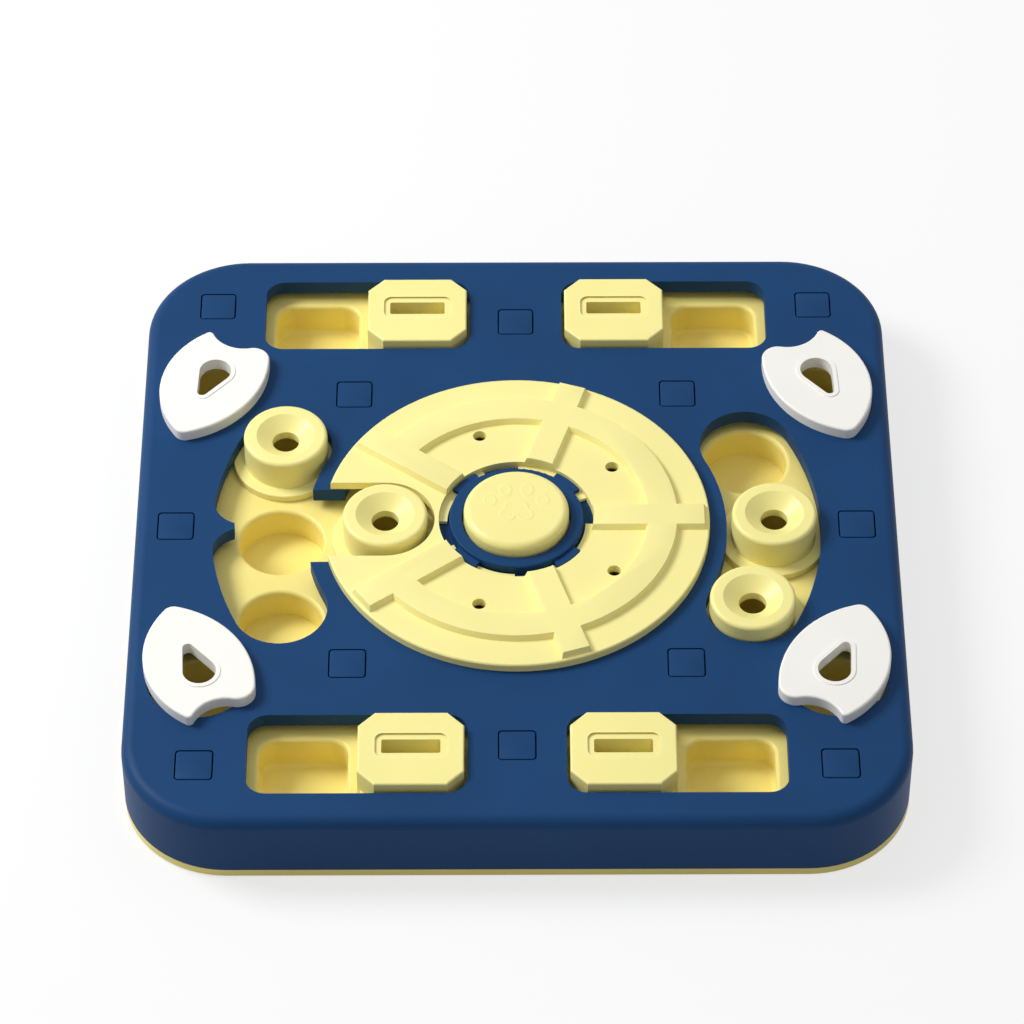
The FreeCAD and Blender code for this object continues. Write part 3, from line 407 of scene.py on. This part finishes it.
def bulb_profile(points=48):
    """Outer and inner line of a rubber bulb with soft folds, from its mouth to its crown."""
    outer = []
    inner = []
    height = BULB_TOP - BULB_FLOOR
    for index in range(points + 1):
        share = index / points
        in_crown = max(0.0, (share - BULB_CROWN_START) / (1 - BULB_CROWN_START))
        swell = math.sqrt(max(0.0, 1 - in_crown**BULB_CROWN_POWER))
        turns = BULB_FOLDS * min(share, BULB_FOLDS_END) / BULB_FOLDS_END
        fold = BULB_FOLD_DEPTH * math.cos(2 * math.pi * turns)
        fold *= min(1, share / BULB_FOLDS_START)
        foot = min(1.0, BULB_FOOT_WIDTH + share / BULB_FOOT_SHARE * (1 - BULB_FOOT_WIDTH))
        radius = (BULB_MEAN_RADIUS * foot + fold) * swell
        radius = max(BULB_TIP_OUTER, radius)
        z = BULB_FLOOR + height * share
        outer.append((radius, z))
        inner_radius = max(BULB_TIP_INNER, radius - BULB_WALL)
        inner.append((inner_radius, max(BULB_FLOOR, z - BULB_WALL * BULB_ROOF)))
    inner[0] = (BULB_MOUTH, BULB_FLOOR)
    return outer + inner[::-1]


bulb = lathe("folded_bulb", bulb_profile())
dressed(bulb, "bulb_rubber", "board", "squeaker_bulb")
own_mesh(bulb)


def solid(name, outlines):
    """A closed mesh between outlines of equal length, each a list of points in space."""
    mesh = bmesh.new()
    rows = [[mesh.verts.new(point) for point in outline] for outline in outlines]
    for low, high in zip(rows, rows[1:]):
        for index in range(len(low)):
            after = (index + 1) % len(low)
            mesh.faces.new((low[index], low[after], high[after], high[index]))
    mesh.faces.new(rows[0][::-1])
    mesh.faces.new(rows[-1])
    bmesh.ops.recalc_face_normals(mesh, faces=mesh.faces)
    return placed(name, mesh)


def applied(piece, sharp_above=35.0):
    """The piece with its modifiers worked into its mesh, shaded smooth."""
    depsgraph = bpy.context.evaluated_depsgraph_get()
    data = bpy.data.meshes.new_from_object(piece.evaluated_get(depsgraph))
    piece.modifiers.clear()
    piece.data = data
    smoothed(data, sharp_above)
    return piece


def eased(piece, width, segments=3, sharp_above=28):
    """The piece with its sharp edges rounded."""
    bevel = piece.modifiers.new("edges", "BEVEL")
    bevel.width = width
    bevel.segments = segments
    bevel.limit_method = "ANGLE"
    bevel.angle_limit = math.radians(sharp_above)
    return applied(piece)


def ring_outline(inset, height, half_turn=2 * DISC_STEP, step=2):
    """The raised ring's outline, from its outer arc round to its inner one."""
    turns = range(-half_turn, half_turn + 1, step)
    points = [(*polar(RING_OUTER - inset, turn), height) for turn in turns]
    points += [(*polar(RING_INNER + inset, turn), height) for turn in reversed(turns)]
    return points


def spoke_outline(turn, inset, height, steps=8, near_share=0.3):
    """A spoke's outline. Its near end follows the disc's eye and slopes less."""
    half = SPOKE_HALF - inset
    far = SPOKE_FAR - inset
    near = SPOKE_NEAR + near_share * inset
    reach = math.asin(half / near)
    points = [(far, -half), (far, half)]
    for index in range(steps + 1):
        angle = reach * (1 - 2 * index / steps)
        points.append((near * math.cos(angle), near * math.sin(angle)))
    cos, sin = polar(1.0, turn)
    return [(x * cos - y * sin, x * sin + y * cos, height) for x, y in points]


def rib_solid(name, outline):
    """A rib with sloped sides, sunk a little into the disc."""
    low = DISC_TOP - RIB_SINK
    high = DISC_TOP + RIB_RISE
    foot = RIB_SLOPE * RIB_SINK / RIB_RISE
    return solid(name, [outline(-foot, low), outline(RIB_SLOPE, high)])


def turntable_ribs():
    """The disc's raised ring and five spokes, as one soft-edged moulding."""
    ribs = rib_solid("turntable_ribs", ring_outline)
    spokes = []
    for index in range(SPOKE_COUNT):
        turn = index * DISC_STEP
        spoke = rib_solid(
            "spoke_%d" % index,
            lambda inset, height, turn=turn: spoke_outline(turn, inset, height),
        )
        join = ribs.modifiers.new("join_%d" % index, "BOOLEAN")
        join.operation = "UNION"
        join.solver = "EXACT"
        join.object = spoke
        spokes.append(spoke)
    applied(ribs)
    for spoke in spokes:
        bpy.data.objects.remove(spoke)
    return eased(ribs, RIB_EDGE)


dressed(turntable_ribs(), "disc_plastic", "turntable")


def oval_depth(x, y, centre_x, centre_y, wide, tall, lean):
    """About how far a point lies inside an oval, in millimetres, below zero outside."""
    cos, sin = polar(1.0, lean)
    along = ((x - centre_x) * cos + (y - centre_y) * sin) / wide
    across = (-(x - centre_x) * sin + (y - centre_y) * cos) / tall
    return (1 - math.hypot(along, across)) * min(wide, tall)


def eased_step(value):
    """A step from 0 to 1 with a soft start and end."""
    value = min(1.0, max(0.0, value))
    return value * value * (3 - 2 * value)


def paw_height(x, y, slope=0.5, rim=0.3, hollow_width=0.9, hollow_share=0.55):
    """Height of the plain paw's relief, whose ovals are a little hollow inside their rims."""
    depth = max(oval_depth(x * 1000, y * 1000, *oval) for oval in TOES + PAD_LOBES)
    rise = eased_step(depth / slope + 0.5)
    hollow = eased_step((depth - rim) / hollow_width)
    return PAW_RISE * (rise - hollow_share * hollow)


def button_profile(rings=64, edge_steps=12):
    """Side, top and underside of the button as (radius, height), with the top's own points."""
    inside = BUTTON_RADIUS - BUTTON_WALL
    roof = BUTTON_TOP - BUTTON_WALL
    edge_low = BUTTON_TOP - BUTTON_EDGE
    flat = BUTTON_RADIUS - BUTTON_EDGE
    side = [
        (inside, BUTTON_FLANGE_LOW),
        (BUTTON_FLANGE_RADIUS, BUTTON_FLANGE_LOW),
        (BUTTON_FLANGE_RADIUS, BUTTON_FLANGE_HIGH),
        (BUTTON_RADIUS, BUTTON_FLANGE_HIGH),
        (BUTTON_RADIUS, 0.5 * (BUTTON_FLANGE_HIGH + edge_low)),
    ]
    for index in range(edge_steps + 1):
        share = index / edge_steps
        across, up = polar(BUTTON_EDGE, 90 * share)
        side.append((flat + across, edge_low + up - BUTTON_EDGE_DROP * (1 - share)))
    top = [(flat * (1 - index / rings), BUTTON_TOP) for index in range(1, rings)]
    top.append((0.0, BUTTON_TOP))
    under = [(0.0, roof), (inside - BUTTON_CORNER, roof), (inside, roof - BUTTON_CORNER)]
    return side, top, under


def button_row(mesh, radius, height, with_paw, steps=240):
    """A ring of the button's points, or the one point in its middle."""
    row = []
    for step in range(steps if radius else 1):
        x, y = polar(radius, 360 * step / steps)
        lift = paw_height(x, y) if with_paw else 0.0
        row.append(mesh.verts.new((x, y, height + lift)))
    return row


def join_rows(mesh, first, second):
    """Faces between two rows, either of which may be a single point."""
    steps = max(len(first), len(second))
    if steps == 1:
        return
    for step in range(steps):
        after = (step + 1) % steps
        if len(first) == 1:
            mesh.faces.new((first[0], second[after], second[step]))
        elif len(second) == 1:
            mesh.faces.new((first[step], first[after], second[0]))
        else:
            mesh.faces.new((first[step], first[after], second[after], second[step]))


def paw_button(name):
    """The squeaker's button: a cap with a rounded edge, a flange and the paw in relief."""
    mesh = bmesh.new()
    rows = []
    for points, with_paw in zip(button_profile(), (False, True, False)):
        rows += [button_row(mesh, radius, height, with_paw) for radius, height in points]
    for first, second in zip(rows, rows[1:] + rows[:1]):
        join_rows(mesh, first, second)
    bmesh.ops.recalc_face_normals(mesh, faces=mesh.faces)
    piece = placed(name, mesh)
    smoothed(piece.data)
    return piece


dressed(paw_button("paw_button"), "button_plastic", "squeak_button", "squeak_button")


def square(place, side, corner, height, steps=6):
    """A rounded square's outline about a place."""
    points = []
    middle = side / 2 - corner
    for quarter, (sign_x, sign_y) in enumerate(((1, 1), (-1, 1), (-1, -1), (1, -1))):
        centre_x = place[0] + sign_x * middle
        centre_y = place[1] + sign_y * middle
        for index in range(steps + 1):
            x, y = polar(corner, 90 * quarter + 90 * index / steps)
            points.append((centre_x + x, centre_y + y, height))
    return points


def snap_plugs(name):
    """The twelve flush plugs, whose heads leave a groove in the cover."""
    head_levels = [(PLUG_SIDE, PLUG_UNDER)]
    head_levels += [(PLUG_SIDE - narrower, PLUG_TOP - below) for narrower, below in PLUG_EASING]
    stem_levels = (
        (STEM_SIDE - STEM_TAPER, STEM_LOW),
        (STEM_SIDE, STEM_LOW + STEM_TAPER),
        (STEM_SIDE, STEM_HIGH),
    )
    parts = []
    for number, place in enumerate(PLUG_PLACES):
        for kind, levels, corner in (
            ("head", head_levels, PLUG_ROUND),
            ("stem", stem_levels, STEM_ROUND),
        ):
            outlines = [square(place, side, corner, height) for side, height in levels]
            parts.append(solid("%s_%s_%d" % (name, kind, number), outlines))
    mesh = bmesh.new()
    for part in parts:
        mesh.from_mesh(part.data)
        bpy.data.objects.remove(part)
    piece = placed(name, mesh)
    smoothed(piece.data)
    return piece


dressed(snap_plugs("snap_plugs"), "plug_plastic", "board", "cover_plugs")


def pale_floor(reach=6.0, shown_matt=0.3):
    """A floor that looks white, keeps the shadow and throws back some light."""
    mesh = bpy.data.meshes.new("floor")
    corners = [(-reach, -reach, 0), (reach, -reach, 0), (reach, reach, 0), (-reach, reach, 0)]
    mesh.from_pydata(corners, [], [(0, 1, 2, 3)])
    floor = bpy.data.objects.new("floor", mesh)
    bpy.context.scene.collection.objects.link(floor)

    make = Maker("floor")
    seen = seen_directly(make.tree)
    bounce = make.add("ShaderNodeBsdfDiffuse")
    bounce.inputs["Color"].default_value = (FLOOR_BOUNCE, FLOOR_BOUNCE, FLOOR_BOUNCE, 1)
    matt = make.add("ShaderNodeBsdfDiffuse")
    matt.inputs["Color"].default_value = (FLOOR_SHOWN, FLOOR_SHOWN, FLOOR_SHOWN, 1)
    glow = make.add("ShaderNodeEmission")
    glow.inputs["Strength"].default_value = 1.0
    pale = make.add("ShaderNodeMixShader")
    pale.inputs["Fac"].default_value = shown_matt
    make.link(glow.outputs["Emission"], pale.inputs[1])
    make.link(matt.outputs["BSDF"], pale.inputs[2])
    both = make.add("ShaderNodeMixShader")
    make.link(seen, both.inputs["Fac"])
    make.link(bounce.outputs["BSDF"], both.inputs[1])
    make.link(pale.outputs["Shader"], both.inputs[2])
    output = make.add("ShaderNodeOutputMaterial")
    make.link(both.outputs["Shader"], output.inputs["Surface"])
    mesh.materials.append(make.material)


def white_surround():
    """A world that looks white and lights the object more softly."""
    world = bpy.data.worlds.new("studio")
    bpy.context.scene.world = world
    world.use_nodes = True
    tree = world.node_tree
    tree.nodes.clear()
    level = tree.nodes.new("ShaderNodeMapRange")
    level.inputs["To Min"].default_value = WORLD_LEVEL
    level.inputs["To Max"].default_value = 1.0
    tree.links.new(seen_directly(tree), level.inputs["Value"])
    sky = tree.nodes.new("ShaderNodeBackground")
    tree.links.new(level.outputs["Result"], sky.inputs["Strength"])
    output = tree.nodes.new("ShaderNodeOutputWorld")
    tree.links.new(sky.outputs["Background"], output.inputs["Surface"])


def seen_directly(tree):
    """1 where the camera sees the surface, also in a reflection or through glass."""
    path = tree.nodes.new("ShaderNodeLightPath")
    value = path.outputs["Is Camera Ray"]
    for name in ("Is Glossy Ray", "Is Transmission Ray"):
        either = tree.nodes.new("ShaderNodeMath")
        either.operation = "MAXIMUM"
        tree.links.new(value, either.inputs[0])
        tree.links.new(path.outputs[name], either.inputs[1])
        value = either.outputs["Value"]
    return value


def lamp(name, place, size, power):
    """A soft square lamp that faces the middle of the object."""
    data = bpy.data.lights.new(name, "AREA")
    data.size = size
    data.energy = power
    lamp_object = bpy.data.objects.new(name, data)
    lamp_object.location = place
    aim = Vector((0, 0, 0.02)) - Vector(place)
    lamp_object.rotation_euler = aim.to_track_quat("-Z", "Y").to_euler()
    bpy.context.scene.collection.objects.link(lamp_object)


def photograph_camera():
    """The photograph's camera, fitted to the board's edges, plugs and openings."""
    distance = 1.876984
    focal = 171.18
    elevation = math.radians(47.458)
    azimuth = math.radians(0.031)
    roll = math.radians(-0.143)
    target = Vector((-0.001623, 0.020868, 0.0158))
    forward = Vector(
        (
            math.sin(azimuth) * math.cos(elevation),
            math.cos(azimuth) * math.cos(elevation),
            -math.sin(elevation),
        )
    )
    level = Vector((math.cos(azimuth), -math.sin(azimuth), 0))
    above = level.cross(forward)
    right = level * math.cos(roll) + above * math.sin(roll)
    up = above * math.cos(roll) - level * math.sin(roll)
    data = bpy.data.cameras.new("camera")
    data.sensor_width = 36.0
    data.lens = focal
    data.clip_start = 0.05
    data.clip_end = 50.0
    camera = bpy.data.objects.new("camera", data)
    turn = Matrix((right, up, -forward)).transposed()
    camera.matrix_world = Matrix.Translation(target - forward * distance) @ turn.to_4x4()
    bpy.context.scene.collection.objects.link(camera)
    bpy.context.scene.camera = camera


pale_floor()
white_surround()
lamp("lamp_key", place=(-1.1, 0.35, 1.15), size=0.6, power=20.5)
lamp("lamp_top", place=(0.1, 0.3, 1.5), size=1.5, power=3.2)
photograph_camera()
bpy.context.scene.view_settings.view_transform = "Standard"
